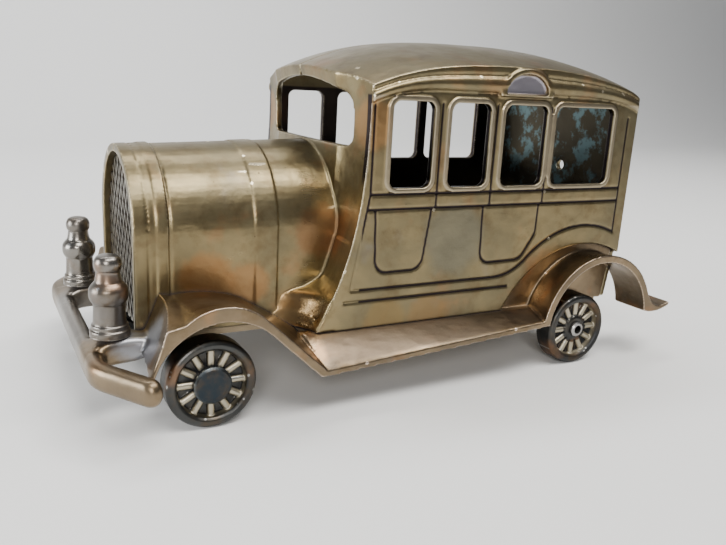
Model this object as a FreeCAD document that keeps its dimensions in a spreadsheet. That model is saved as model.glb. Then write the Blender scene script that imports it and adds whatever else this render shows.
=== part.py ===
"""Cast brass coin bank in the form of a vintage limousine.

Millimetres. +X is the car's front, +Y its left side, +Z up. The origin lies on the ground,
midway between the bumper's front face and the rear fenders' tips.
"""

import FreeCAD, Part

import math
import os

import Sketcher

Vector = FreeCAD.Vector
Rotation = FreeCAD.Rotation

doc = FreeCAD.newDocument("limousine_bank")

# ---------------------------------------------------------------- driving dimensions

SIZES = {
    # running gear
    "wheel_radius": 16.0,
    "wheel_width": 10.0,
    "wheel_centre_y": 52.6,
    "front_axle_x": 91.5,
    "rear_axle_x": -77.2,
    "rim_inner_radius": 12.4,
    "hub_radius": 5.6,
    "web_face": 1.2,
    "spoke_count": 12,
    "spoke_radius": 1.35,
    "journal_radius": 2.2,
    "journal_clearance": 0.06,
    "axle_radius": 3.0,
    "wheel_side_play": 0.3,
    "hub_cap_radius": 6.7,
    "hub_cap_height": 2.2,
    "peened_head_radius": 3.3,
    "peened_hole_radius": 1.9,
    # cabin
    "wall": 2.6,
    "body_half_width": 49.7,
    "body_bottom": 26.6,
    "cabin_front": 30.9,
    "cabin_rear": -107.1,
    "rear_corner_radius": 9.0,
    "roof_peak_x": -46.5,
    "roof_edge_peak": 127.8,
    "roof_rise": 9.1,
    "roof_front_drop": 9.5,
    "roof_rear_drop": 9.1,
    "roof_end_radius": 5.0,
    "front_bow": 5.4,
    "cornice_height": 117.3,
    "cornice_bulge": 1.7,
    "belt_upper": 78.7,
    "belt_lower": 73.0,
    "groove_radius": 0.62,
    "rim_width": 1.9,
    "rim_proud": 0.8,
    "window_sill": 81.0,
    "window_head": 113.2,
    "window_corner": 3.2,
    "arch_x": -82.6,
    "arch_z": 4.2,
    "arch_radius": 49.4,
    "sweep_x": -81.0,
    "sweep_z": 16.7,
    "sweep_radius": 45.6,
    # windscreen opening
    "screen_half_width": 38.0,
    "screen_sill": 95.4,
    "screen_spring": 114.0,
    "screen_crown": 120.2,
    "screen_corner": 6.0,
    # hood
    "hood_front": 111.5,
    "hood_front_radius": 30.2,
    "hood_front_centre_z": 61.6,
    "hood_rear_radius": 32.3,
    "hood_rear_centre_z": 62.8,
    "hood_rear": 22.0,
    "shell_band_proud": 0.6,
    "lattice_pitch": 5.6,
    # fenders
    "rear_fender_x": -85.2,
    "rear_fender_z": 18.3,
    "rear_fender_radius": 32.5,
    "rear_rim_depth": 3.4,
    "tail_x": -130.9,
    "tail_z": 25.0,
    "board_front_x": 49.9,
    "board_front_z": 16.6,
    "board_rear_z": 23.6,
    "board_thickness": 2.2,
    "tub_thickness": 2.2,
    "tub_lap": 3.0,
    # bumper and posts
    "bumper_front": 130.9,
    "bumper_z": 22.5,
    "bumper_height": 9.4,
    "bumper_depth": 6.6,
    "bumper_bend_y": 51.0,
    "bumper_bend_radius": 13.0,
    "wing_end_x": 114.8,
    "wing_end_y": 71.0,
    "arm_y": 34.1,
    "post_x": 120.7,
    "post_base_z": 30.0,
    "post_spigot_radius": 2.4,
    "post_spigot_length": 6.0,
    # chassis pan, coin trap and fasteners
    "pan_bottom": 24.0,
    "pan_top": 26.5,
    "pan_half_width": 44.0,
    "pan_rear": -99.5,
    "pan_step_x": 53.7,
    "lug_bottom": 11.0,
    "lug_thickness": 5.0,
    "front_lug_y": 24.0,
    "rear_lug_y": 38.0,
    "outlet_x": 2.0,
    "outlet_radius": 13.5,
    "trap_pivot_x": 22.0,
    "trap_lock_x": -16.0,
    "trap_disc_radius": 16.0,
    "trap_thickness": 1.6,
    "trap_gap": 0.3,
    "screw_radius": 2.0,
    "screw_head_radius": 3.8,
    "slot_length": 34.0,
    "slot_width": 4.4,
    "slot_x": -44.0,
    "rear_hole_radius": 2.3,
    "rear_hole_y": 5.5,
    "rear_hole_z": 83.6,
}

sheet = doc.addObject("Spreadsheet::Sheet", "Sizes")
for row, (alias, value) in enumerate(SIZES.items(), start=1):
    sheet.set(f"A{row}", alias)
    sheet.set(f"B{row}", str(value))
    sheet.setAlias(f"B{row}", alias)
doc.recompute()


def size(alias):
    """A driving dimension as the sheet holds it."""
    return float(sheet.get(alias))


# ---------------------------------------------------------------- sketch and body helpers


def new_body(label):
    body = doc.addObject("PartDesign::Body", label)
    body.Label = label
    return body


def new_sketch(body, name, role, offset=None):
    """A sketch on one of the body's own origin planes, moved along its normal by an expression."""
    sketch = body.newObject("Sketcher::SketchObject", name)
    plane = next(f for f in body.Origin.OriginFeatures if f.Role == role)
    sketch.AttachmentSupport = [(plane, "")]
    sketch.MapMode = "FlatFace"
    if offset is not None:
        sketch.setExpression(".AttachmentOffset.Base.z", offset)
    return sketch


def evaluate(expression):
    """The present value of an expression over the sheet."""
    value = sheet.evalExpression(expression)
    return float(getattr(value, "Value", value))


def outline(sketch, corners):
    """A closed polygon whose corners are pairs of expressions."""
    places = [(evaluate(x), evaluate(y)) for x, y in corners]
    first = sketch.GeometryCount
    count = len(corners)
    for i in range(count):
        start = Vector(*places[i], 0)
        end = Vector(*places[(i + 1) % count], 0)
        sketch.addGeometry(Part.LineSegment(start, end), False)
    for i in range(count):
        joint = (first + i, 2, first + (i + 1) % count, 1)
        sketch.addConstraint(Sketcher.Constraint("Coincident", *joint))
    for i, (x, y) in enumerate(corners):
        for kind, expression, value in (("DistanceX", x, places[i][0]), ("DistanceY", y, places[i][1])):
            constraint = Sketcher.Constraint(kind, -1, 1, first + i, 1, value)
            sketch.setExpression(f"Constraints[{sketch.addConstraint(constraint)}]", expression)


def circle(sketch, x, y, radius):
    """A circle whose centre and radius are expressions."""
    values = [evaluate(e) for e in (x, y, radius)]
    centre = Vector(values[0], values[1], 0)
    index = sketch.addGeometry(Part.Circle(centre, Vector(0, 0, 1), values[2]), False)
    places = (("DistanceX", (-1, 1, index, 3), x), ("DistanceY", (-1, 1, index, 3), y))
    for kind, place, expression in places:
        constraint = Sketcher.Constraint(kind, *place, evaluate(expression))
        sketch.setExpression(f"Constraints[{sketch.addConstraint(constraint)}]", expression)
    constraint = Sketcher.Constraint("Radius", index, values[2])
    sketch.setExpression(f"Constraints[{sketch.addConstraint(constraint)}]", radius)


def revolve(body, name, sketch):
    """Turns a sketch's outline about the sketch's own vertical axis."""
    feature = body.newObject("PartDesign::Revolution", name)
    feature.Profile = sketch
    feature.ReferenceAxis = (sketch, ["V_Axis"])
    feature.Angle = 360
    return feature


def pad(body, name, sketch, length, reverse=False):
    feature = body.newObject("PartDesign::Pad", name)
    feature.Profile = sketch
    feature.setExpression("Length", length)
    feature.Reversed = reverse
    return feature


def pocket(body, name, sketch, depth=None, reverse=False):
    """Cuts a sketch's outline to a depth, or right through where none is given."""
    feature = body.newObject("PartDesign::Pocket", name)
    feature.Profile = sketch
    if depth is None:
        feature.Type = 1
        feature.Midplane = True
    else:
        feature.setExpression("Length", depth)
    feature.Reversed = reverse
    return feature


def polar(body, name, feature, axis_role, count):
    pattern = body.newObject("PartDesign::PolarPattern", name)
    pattern.Originals = [feature]
    axis = next(f for f in body.Origin.OriginFeatures if f.Role == axis_role)
    pattern.Axis = (axis, [""])
    pattern.Angle = 360
    pattern.setExpression("Occurrences", count)
    body.Tip = pattern
    return pattern


def solid_feature(label, shape):
    """A sub-part whose shape comes from Part's own functions."""
    feature = doc.addObject("Part::Feature", label)
    feature.Label = label
    feature.Shape = shape
    feature.Placement = FreeCAD.Placement()
    return feature


# ---------------------------------------------------------------- shape helpers


def line(a, b):
    return Part.LineSegment(a, b).toShape()


def arc(a, b, c):
    return Part.Arc(a, b, c).toShape()


def curve(*points):
    """A Bezier curve with these control points."""
    bezier = Part.BezierCurve()
    bezier.setPoles(list(points))
    return bezier.toShape()


def rounded_path(points, radius):
    """Straight runs between points, with a tangent arc at each inner corner."""
    edges = []
    start = points[0]
    for before, corner, after in zip(points, points[1:], points[2:]):
        back = (before - corner).normalize()
        ahead = (after - corner).normalize()
        half = back.getAngle(ahead) / 2
        reach = radius / math.tan(half)
        entry = corner + back * reach
        leave = corner + ahead * reach
        middle = corner + (back + ahead).normalize() * (radius / math.sin(half) - radius)
        edges.append(line(start, entry))
        edges.append(arc(entry, middle, leave))
        start = leave
    edges.append(line(start, points[-1]))
    return Part.Wire(edges)


def tube(path, radius):
    """A round bar along a path."""
    first = path.Edges[0]
    start = first.valueAt(first.FirstParameter)
    tangent = first.tangentAt(first.FirstParameter)
    section = Part.Wire(Part.makeCircle(radius, start, tangent))
    return path.makePipeShell([section], True, False)


def plate(wire, direction):
    return Part.Face(wire).extrude(direction)


def rounded_frame(centre, across, up, radius):
    """A rectangle with round corners about a centre, from two half-extents given as vectors."""
    corners = [centre + across * i + up * j for i, j in ((1, -1), (1, 1), (-1, 1), (-1, -1))]
    start = centre - up
    return rounded_path([start] + corners + [start], radius)


def mirrored(shape):
    """The same shape on the car's other side."""
    return shape.mirror(Vector(0, 0, 0), Vector(0, 1, 0))


def both_sides(shapes):
    return shapes + [mirrored(s) for s in shapes]


# ---------------------------------------------------------------- cabin surfaces

wall = size("wall")
half_width = size("body_half_width")
bottom = size("body_bottom")
front_x = size("cabin_front")
rear_x = size("cabin_rear")


def roof_edge(x):
    """Height of the roof's side edge: a long crown that falls to both ends."""
    from_peak = x - size("roof_peak_x")
    if from_peak > 0:
        share = from_peak / (front_x - size("roof_peak_x"))
        return size("roof_edge_peak") - size("roof_front_drop") * share**3.3
    drop = size("roof_rear_drop") * (from_peak / (rear_x - size("roof_peak_x"))) ** 2
    radius = size("roof_end_radius")
    into_corner = min(max(rear_x + radius - x, 0.0), radius)
    return size("roof_edge_peak") - drop - (radius - math.sqrt(radius**2 - into_corner**2)) * 0.8


def cornice_edge(x):
    """Height of the cornice's lower edge, which drops at both ends of the side."""
    front_turn = max(x - 6.0, 0.0) / 25.0
    rear_turn = max(-74.0 - x, 0.0) / 30.0
    return size("cornice_height") - 5.2 * front_turn**2 - 4.0 * rear_turn**2


def cabin_section(x):
    """The cabin's outline across the car, with the rolled cornice under the roof's edge."""
    low = min(cornice_edge(x), roof_edge(x) - 5.5)
    edge = roof_edge(x)
    top = low + 0.66 * (edge - low)
    bulge = size("cornice_bulge")
    side = [
        (half_width, bottom),
        (half_width, low - 0.9),
        (half_width - 0.7, low - 0.2),
        (half_width + bulge, 0.5 * (low + top)),
        (half_width - 0.5, top),
        (half_width + 0.5, top + 0.8),
        (half_width + 0.4, edge),
    ]
    right = [Vector(x, -y, z) for y, z in side]
    left = [Vector(x, y, z) for y, z in side]
    crest = Vector(x, 0, edge + size("roof_rise"))

    def flank(p):
        rolled = arc(p[2], p[3], p[4])
        return [line(p[0], p[1]), line(p[1], p[2]), rolled, line(p[4], p[5]), line(p[5], p[6])]

    edges = [line(right[0], left[0])]
    edges += flank(left)
    edges.append(arc(left[6], crest, right[6]))
    edges += flank(right)
    return Part.Wire(Part.__sortEdges__(edges))


def inner_section(x):
    """The hollow's outline across the cabin."""
    edge = roof_edge(x) - wall
    side = half_width - wall
    low_left, high_left = Vector(x, side, bottom - 8), Vector(x, side, edge)
    low_right, high_right = Vector(x, -side, bottom - 8), Vector(x, -side, edge)
    crest = Vector(x, 0, edge + size("roof_rise"))
    return Part.Wire(
        [
            line(low_right, low_left),
            line(low_left, high_left),
            arc(high_left, crest, high_right),
            line(high_right, low_right),
        ]
    )


def stations(first, last, count):
    return [first + (last - first) * i / (count - 1) for i in range(count)]


def corner_line(z):
    """The cabin's front corner, seen from the side: upright above the belt, sweeping forward below."""
    return front_x + 16.8 * (max(112.0 - z, 0.0) / 82.0) ** 2.6


def cowl_line(z):
    """Where the cabin's front wall meets the hood's side."""
    knee = 37.9
    if z < knee:
        return front_x + 28.5 + 0.6 * (knee - z)
    return front_x + 3.5 + 25.0 * math.exp(-(z - knee) / 4.4)


def front_section(z, back):
    """A level slice of all that lies behind the cabin's front surface, moved back by a wall."""
    out = 62.0
    hood_y = size("hood_front_radius") - 0.7
    corner = corner_line(z) - back
    cowl = cowl_line(z) - back
    middle = front_x + size("front_bow") - back
    hollow = 2.2 * max(min((100.0 - z) / 40.0, 1.0), 0.0)
    blend_x = corner + 0.25 * (cowl - corner) - hollow
    blend_y = hood_y + 0.35 * (half_width - hood_y)
    far = rear_x - 10.0

    def half(sign):
        tip = Vector(corner, sign * out, z)
        edge = Vector(corner, sign * half_width, z)
        inner = Vector(cowl, sign * hood_y, z)
        control = Vector(blend_x, sign * blend_y, z)
        return tip, edge, control, inner

    left, right = half(1), half(-1)
    edges = [
        line(Vector(far, -out, z), Vector(far, out, z)),
        line(Vector(far, out, z), left[0]),
        line(left[0], left[1]),
        curve(left[1], left[2], left[3]),
        curve(left[3], Vector(max(middle, cowl), 0, z), right[3]),
        curve(right[3], right[2], right[1]),
        line(right[1], right[0]),
        line(right[0], Vector(far, -out, z)),
    ]
    return Part.Wire(edges)


def behind_front(back, low):
    heights = [low, 31.0, 35.0, 38.0, 41.0, 45.0, 51.0, 60.0, 74.0, 90.0, 110.0, 140.0]
    return Part.makeLoft([front_section(z, back) for z in heights], True, False)


def rear_limit(back):
    """A block whose rear face bellies like the rear wall and whose rear corners are round."""
    radius = size("rear_corner_radius") - back
    rear = rear_x + back
    side = half_width + 3.0 - back
    profile = Part.Wire(
        [
            arc(Vector(rear + 7.5, 0, 10), Vector(rear, 0, 84), Vector(rear + 6.5, 0, 150)),
            line(Vector(rear + 6.5, 0, 150), Vector(90, 0, 150)),
            line(Vector(90, 0, 150), Vector(90, 0, 10)),
            line(Vector(90, 0, 10), Vector(rear + 7.5, 0, 10)),
        ]
    )
    belly = plate(profile, Vector(0, 140, 0))
    belly.translate(Vector(0, -70, 0))
    k = radius * (1 - math.sqrt(0.5))

    def at(x, y):
        return Vector(x, y, 0)

    plan = Part.Wire(
        [
            line(at(rear, -side + radius), at(rear, side - radius)),
            arc(at(rear, side - radius), at(rear + k, side - k), at(rear + radius, side)),
            line(at(rear + radius, side), at(90, side)),
            line(at(90, side), at(90, -side)),
            line(at(90, -side), at(rear + radius, -side)),
            arc(at(rear + radius, -side), at(rear + k, -side + k), at(rear, -side + radius)),
        ]
    )
    return belly.common(plate(plan, Vector(0, 0, 160)))


def cabin_outer():
    block = Part.makeLoft([cabin_section(x) for x in stations(rear_x - 1.0, 64.0, 16)], True, False)
    return block.common(behind_front(0.0, bottom - 1.0)).common(rear_limit(0.0))


def cabin_inner():
    block = Part.makeLoft([inner_section(x) for x in stations(rear_x - 1.0, 64.0, 14)], True, False)
    return block.common(behind_front(wall + 0.2, bottom - 9.0)).common(rear_limit(wall))


# ---------------------------------------------------------------- hood


def hood_size(x):
    """Radius of the hood's round top and the height of its centre at a place along it."""
    share = (size("hood_front") - x) / (size("hood_front") - size("hood_rear"))
    radius = size("hood_front_radius") + share * (size("hood_rear_radius") - size("hood_front_radius"))
    centre = size("hood_front_centre_z") + share * (size("hood_rear_centre_z") - size("hood_front_centre_z"))
    return radius, centre


def hood_section(x, grow, low):
    radius, centre = hood_size(x)
    radius += grow
    return Part.Wire(
        [
            line(Vector(x, -radius, low), Vector(x, radius, low)),
            line(Vector(x, radius, low), Vector(x, radius, centre)),
            arc(Vector(x, radius, centre), Vector(x, 0, centre + radius), Vector(x, -radius, centre)),
            line(Vector(x, -radius, centre), Vector(x, -radius, low)),
        ]
    )


def hood_band(x_rear, x_front, grow, low):
    return Part.makeLoft([hood_section(x_rear, grow, low), hood_section(x_front, grow, low)], True, True)


def hood_outer():
    """The hood with its radiator shell's two bands, the groove behind them and the strap near the cowl."""
    front = size("hood_front")
    proud = size("shell_band_proud")
    parts = [
        hood_band(size("hood_rear"), front - 13.4, 0.0, bottom),
        hood_band(front - 14.0, front, -0.5, bottom),
        hood_band(front - 4.6, front, proud * 0.7, bottom),
        hood_band(front - 8.8, front - 5.6, proud * 0.5, bottom),
        hood_band(front - 12.2, front - 8.4, proud, bottom),
        hood_band(front - 53.0, front - 44.5, 0.4, bottom),
    ]
    solid = parts[0]
    for part in parts[1:]:
        solid = solid.fuse(part)
    return solid.removeSplitter()


def hood_inner():
    return hood_band(size("hood_rear") - 26.0, size("hood_front") + 1.0, -wall, bottom - 8.0)


# ---------------------------------------------------------------- side details

SIDE_WINDOWS = ((3.8, 22.0), (-22.8, -4.2), (-52.0, -30.2), (-89.9, -57.0))
PILLARS = (-0.2, -26.5, -54.5)


def window_outline(x_low, x_high, grow, y):
    """A side window's outline, made larger all round by grow."""
    sill, head = size("window_sill"), size("window_head")
    centre = Vector((x_low + x_high) / 2, y, (sill + head) / 2)
    across = Vector((x_high - x_low) / 2 + grow, 0, 0)
    up = Vector(0, 0, (head - sill) / 2 + grow)
    return rounded_frame(centre, across, up, size("window_corner") + grow)


def window_openings():
    through = Vector(0, 20, 0)
    return [plate(window_outline(low, high, 0.0, half_width - 8), through) for low, high in SIDE_WINDOWS]


def window_rims():
    width, reach = size("rim_width"), Vector(0, 1 + size("rim_proud"), 0)
    return [plate(window_outline(low, high, width, half_width - 1), reach) for low, high in SIDE_WINDOWS]


def side_grooves():
    """The lines cut in the side: belt, pillars, two doors, sill and the sweep over the rear wheel."""
    y = half_width
    radius = size("groove_radius")
    upper, lower = size("belt_upper"), size("belt_lower")
    panel_front, panel_rear = front_x - 1.6, rear_x + 7.6
    sweep_x, sweep_z, sweep = size("sweep_x"), size("sweep_z"), size("sweep_radius")

    def at(x, z):
        return Vector(x, y, z)

    paths = [
        Part.Wire(line(at(panel_front, upper), at(panel_rear, upper))),
        Part.Wire(line(at(panel_front + 0.6, lower), at(panel_rear, lower))),
        rounded_path([at(panel_front, 112), at(panel_front, upper), at(front_x + 4.9, 42.2)], 20.0),
        Part.Wire(line(at(panel_rear, 110), at(panel_rear, 57.5))),
    ]
    paths += [Part.Wire(line(at(x, 113.5), at(x, lower))) for x in PILLARS]
    door_one = [at(26.8, lower), at(25.6, 48.2), at(4.8, 48.6), at(1.6, lower)]
    door_two = [at(-23.4, lower), at(-24.2, 48.8), at(-45.5, 49.2), at(-52.6, 60.0), at(-53.0, lower)]
    paths += [rounded_path(door_one, 5.5), rounded_path(door_two, 5.0)]
    sill = 42.1

    def over_wheel(x):
        return at(x, sweep_z + math.sqrt(sweep**2 - (x - sweep_x) ** 2))

    meet = over_wheel(sweep_x + 31.5)
    flat_end = at(-31.0, sill)
    paths.append(
        Part.Wire(
            [
                line(at(front_x + 5.3, sill), flat_end),
                curve(flat_end, at(meet.x + 7.5, sill), meet),
                arc(meet, over_wheel(sweep_x), over_wheel(panel_rear + 0.5)),
            ]
        )
    )
    paths.append(Part.Wire(line(at(front_x + 7.9, 37.6), at(-41.0, 37.6))))
    return [tube(path, radius) for path in paths]


def cowl_groove():
    """The line where the cabin's front wall was fitted round the hood."""
    points = []
    for z in (38.4, 40.0, 43.0, 48.0, 55.0):
        x = cowl_line(z)
        points.append(Vector(x, hood_size(x)[0], z))
    x = front_x + 3.4
    radius, centre = hood_size(x)
    for degrees in (0, 25, 50, 70):
        angle = math.radians(degrees)
        points.append(Vector(x, radius * math.cos(angle), centre + radius * math.sin(angle)))
    spline = Part.BSplineCurve()
    spline.interpolate(points)
    return tube(Part.Wire(spline.toShape()), 0.75)


def half_ellipse(x, z, across, up, y):
    """The upper half of a wide ellipse that faces the car's side."""
    centre = Vector(x, y, z)
    ellipse = Part.Ellipse(centre + Vector(across, 0, 0), centre + Vector(0, 0, up), centre)
    upper = Part.makeBox(2 * across + 2, 2, up + 1, centre - Vector(across + 1, 1, 0))
    return Part.Face(Part.Wire(ellipse.toShape())).common(upper)


EMBLEM_X = -39.6
EMBLEM_Z = 117.3


def emblem_cut():
    face = half_ellipse(EMBLEM_X, EMBLEM_Z, 10.8, 8.0, half_width - 0.2)
    return face.extrude(Vector(0, 6, 0))


def emblem_arch():
    outer = half_ellipse(EMBLEM_X, EMBLEM_Z - 0.8, 13.6, 11.0, half_width - 2)
    return outer.extrude(Vector(0, 2 + 1.5, 0))


def windscreen():
    """The opening in the cabin's front, arched at the top, with a nick where the two halves meet."""
    side, sill = size("screen_half_width"), size("screen_sill")
    spring, crown = size("screen_spring"), size("screen_crown")
    x = front_x - 14
    corner = size("screen_corner")
    haunch = spring + 1.6

    def at(y, z):
        return Vector(x, y, z)

    edges = [
        line(at(-side + 4, sill), at(side - 4, sill)),
        arc(at(side - 4, sill), at(side - 1.2, sill + 1.2), at(side, sill + 4)),
        line(at(side, sill + 4), at(side, spring - corner)),
        curve(at(side, spring - corner), at(side, spring), at(side - corner, haunch)),
        curve(at(side - corner, haunch), at(side * 0.4, crown), at(0, crown)),
        curve(at(0, crown), at(-side * 0.4, crown), at(-side + corner, haunch)),
        curve(at(-side + corner, haunch), at(-side, spring), at(-side, spring - corner)),
        line(at(-side, spring - corner), at(-side, sill + 4)),
        arc(at(-side, sill + 4), at(-side + 1.2, sill + 1.2), at(-side + 4, sill)),
    ]
    through = Vector(40, 0, 0)
    foot = at(-1.8, crown - 0.8)
    nick = Part.makePolygon([foot, at(1.8, crown - 0.8), at(0, crown + 1.5), foot])
    return plate(Part.Wire(edges), through).fuse(plate(Part.Wire(nick), through))


# ---------------------------------------------------------------- body castings

TIE_SCREWS = ((78.0, 58.0), (-12.0, 52.0))
PAN_SCREWS = ((68.0, 20.0), (-24.0, 38.0))


def cylinder(radius, start, end):
    return Part.makeCylinder(radius, (end - start).Length, start, end - start)


def wheel_arches():
    """The round cuts in the sides over the rear wheels, each bordered by a rear fender."""
    centre = Vector(size("arch_x"), 46.8, size("arch_z"))
    return both_sides([cylinder(size("arch_radius"), centre, centre + Vector(0, 20, 0))])


def body_shell():
    """The whole body as an outer envelope, the hollow in it, and the shell between them."""
    envelope = cabin_outer().fuse(hood_outer()).cut(wheel_arches())
    outer = envelope.fuse(both_sides(window_rims() + [emblem_arch()]))
    hollow = cabin_inner().fuse(hood_inner())
    shell = outer.cut([hollow, windscreen()] + both_sides(window_openings()))
    shell = shell.cut(both_sides(side_grooves() + [cowl_groove(), emblem_cut()]))
    return outer, hollow, shell


def body_bosses(outer, hollow):
    """Solid feet beside the cowl, and posts inside the castings for the tie and pan screws."""
    base = size("pan_top")
    bosses = [cylinder(4.5, Vector(x, -52, z), Vector(x, 52, z)) for x, z in TIE_SCREWS]
    near = [Part.makeBox(30, 30, 10, Vector(49.0, hood_size(49.0)[0] - wall, base + 0.1))]
    for x, y in PAN_SCREWS:
        near.append(cylinder(4.0, Vector(x, y, base + 0.1), Vector(x, y, base + 12)))
        near.append(Part.makeBox(8, 10, 11.9, Vector(x - 4, y, base + 0.1)))
    bosses += both_sides(near)
    return bosses[0].fuse(bosses[1:]).common(hollow).common(outer)


def tie_head_y(x):
    """How far from the middle the body's side lies at a tie screw."""
    return half_width if x < front_x else hood_size(x)[0]


def body_cuts():
    """Holes in the castings: coin slot, rear wall hole, tie screw and pan screw holes."""
    length, width = size("slot_length"), size("slot_width")
    slot = Part.makeBox(length, width, 30, Vector(size("slot_x") - length / 2, -width / 2, 118))
    behind = Vector(rear_x - 5, size("rear_hole_y"), size("rear_hole_z"))
    cuts = [slot, cylinder(size("rear_hole_radius"), behind, behind + Vector(17, 0, 0))]
    radius, head_radius = size("screw_radius"), size("screw_head_radius")
    for x, z in TIE_SCREWS:
        outside = Vector(x, -60, z)
        cuts.append(cylinder(radius + 0.05, outside, Vector(x, 14, z)))
        cuts.append(cylinder(head_radius + 0.2, outside, Vector(x, 1.4 - tie_head_y(x), z)))
    for x, y in PAN_SCREWS:
        for sign in (1, -1):
            start = Vector(x, sign * y, 20)
            cuts.append(cylinder(radius + 0.05, start, start + Vector(0, 0, 15.5)))
    return cuts


def make_body_halves():
    outer, hollow, shell = body_shell()
    shell = shell.fuse(body_bosses(outer, hollow))
    shell = shell.cut(body_cuts())
    room = Part.makeBox(300, 100, 200, Vector(-150, 0, 0))
    left = shell.common(room)
    right = shell.common(mirrored(room))
    solid_feature("body_left_half", left)
    solid_feature("body_right_half", right)
    return outer, hollow


# ---------------------------------------------------------------- fenders and running boards


def blend(a, b, share):
    return tuple(p + (q - p) * share for p, q in zip(a, b))


# Corners of the front fender's outline, (x, z), at the hood's side and at the outer edge.
FRONT_FENDER = {
    "foot": ((112.0, 24.0), (114.4, 20.9)),
    "wall_bulge": ((107.6, 30.0), (110.4, 30.5)),
    "ridge": ((103.4, 42.3), (108.2, 38.6)),
    "valley": ((99.0, 41.4), (102.2, 39.9)),
    "crown": ((88.0, 41.9), (90.0, 45.0)),
    "shoulder": ((73.5, 38.4), (73.5, 38.8)),
    "board": ((54.0, 26.5), (49.9, 16.6)),
    "board_under": ((55.2, 24.3), (51.9, 14.2)),
    "well_rear": ((73.5, 35.4), (72.5, 33.6)),
    "well_top": ((89.5, 39.2), (89.5, 39.6)),
    "well_foot": ((108.6, 24.0), (112.6, 20.7)),
}
FRONT_STATIONS = ((30.1, 0.0), (40.0, 0.0), (48.0, 0.22), (55.0, 0.56), (62.0, 1.0))


def front_fender_section(y, share):
    p = {name: blend(ends[0], ends[1], share) for name, ends in FRONT_FENDER.items()}
    v = {name: Vector(x, y, z) for name, (x, z) in p.items()}
    return Part.Wire(
        [
            curve(v["foot"], v["wall_bulge"], v["ridge"]),
            line(v["ridge"], v["valley"]),
            arc(v["valley"], v["crown"], v["shoulder"]),
            line(v["shoulder"], v["board"]),
            line(v["board"], v["board_under"]),
            line(v["board_under"], v["well_rear"]),
            arc(v["well_rear"], v["well_top"], v["well_foot"]),
            line(v["well_foot"], v["foot"]),
        ]
    )


STRIP_STATIONS = ((44.2, 0.0), (50.0, 0.0), (54.0, 0.26), (58.0, 0.6), (62.0, 1.0))


def strip_section(y, share):
    """The running board and rear fender cut lengthwise, from the front fender's foot to the tail."""
    cx, cz = size("rear_fender_x"), size("rear_fender_z")
    crown = size("rear_fender_radius") - 1.2 * (1 - share)
    well = crown - size("rear_rim_depth") + 1.0 * (1 - share)
    front_top = blend((54.0, size("pan_top")), (size("board_front_x"), size("board_front_z")), share)
    rear_z = size("pan_top") + share * (size("board_rear_z") - size("pan_top"))
    thick = size("board_thickness")
    top_x = cx + math.sqrt(crown**2 - (rear_z - cz) ** 2)
    under_x = cx + math.sqrt(well**2 - (rear_z - thick - cz) ** 2)
    leave = math.radians(25.0)
    foot = math.radians(8.0)

    def on(radius, angle):
        return Vector(cx + radius * math.cos(angle), y, cz + radius * math.sin(angle))

    a = Vector(front_top[0], y, front_top[1])
    b = Vector(top_x, y, rear_z)
    c = on(crown, math.pi - leave)
    d = Vector(size("tail_x"), y, size("tail_z") + 0.3)
    e = Vector(size("tail_x"), y, size("tail_z") - 1.3)
    f = on(well, math.pi - foot)
    g = Vector(under_x, y, rear_z - thick)
    h = Vector(front_top[0] + 1.4, y, front_top[1] - thick)
    return Part.Wire(
        [
            line(a, b),
            arc(b, on(crown, math.pi / 2), c),
            curve(c, Vector(cx - crown - 1.2, y, 23.4), Vector(cx - crown - 6, y, 22.6), d),
            line(d, e),
            curve(e, Vector(cx - crown - 4, y, 19.6), f),
            arc(f, on(well, math.pi / 2), g),
            line(g, h),
            line(h, a),
        ]
    )


def make_fender(outer, hollow):
    """Front fender, running board and rear fender in one casting, with the tub beside the rear wheel."""
    front = Part.makeLoft([front_fender_section(y, s) for y, s in FRONT_STATIONS], True, False)
    strip = Part.makeLoft([strip_section(y, s) for y, s in STRIP_STATIONS], True, False)
    face_y = half_width - wall
    centre = Vector(size("arch_x"), face_y, size("arch_z"))
    inner = centre - Vector(0, size("tub_thickness"), 0)
    tub = cylinder(size("arch_radius") + size("tub_lap"), inner, centre)
    floor = Part.makeBox(200, 100, 100, Vector(size("cabin_rear"), 0, size("pan_top") - 0.1))
    return front.fuse(strip).cut(outer).fuse(tub.common(hollow).common(floor))


def make_fenders(outer, hollow):
    left = make_fender(outer, hollow)
    solid_feature("fender_left", left)
    solid_feature("fender_right", mirrored(left))
    return left


# ---------------------------------------------------------------- bumper


def bumper_bar():
    """The bar across the front, bent back at both ends and rounded off there."""
    height, depth = size("bumper_height"), size("bumper_depth")
    bend_x = size("bumper_front") - depth / 2
    z = size("bumper_z")
    end = Vector(size("wing_end_x"), size("wing_end_y"), z)
    bend = Vector(bend_x, size("bumper_bend_y"), z)
    across = (bend - end).normalize().cross(Vector(0, 0, 1)) * (depth / 2)
    section = rounded_frame(end, across, Vector(0, 0, height / 2), depth * 0.46)
    path = rounded_path([end, bend, across_car(bend), across_car(end)], size("bumper_bend_radius"))
    bar = path.makePipeShell([section], True, False)
    cap = Part.makeSphere(depth / 2 - 0.05)
    stretch = FreeCAD.Matrix()
    stretch.scale(1.0, 1.0, height / depth)
    cap = cap.transformGeometry(stretch)
    cap.translate(end)
    return bar.fuse(both_sides([cap]))


def across_car(point):
    return Vector(point.x, -point.y, point.z)


# Slices of a bumper arm: x, bottom, top and half its width.
ARM_SLICES = (
    (106.6, 22.3, 29.1, 5.7),
    (113.0, 20.8, 30.0, 6.3),
    (121.0, 20.2, 30.0, 6.3),
    (127.4, 19.4, 27.4, 7.7),
)


def bumper_arm():
    """The horn that carries the bumper and its post."""
    slices = []
    for x, low, high, half in ARM_SLICES:
        centre = Vector(x, size("arm_y"), (low + high) / 2)
        slices.append(rounded_frame(centre, Vector(0, half, 0), Vector(0, 0, (high - low) / 2), 2.6))
    return Part.makeLoft(slices, True, True)


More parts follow.
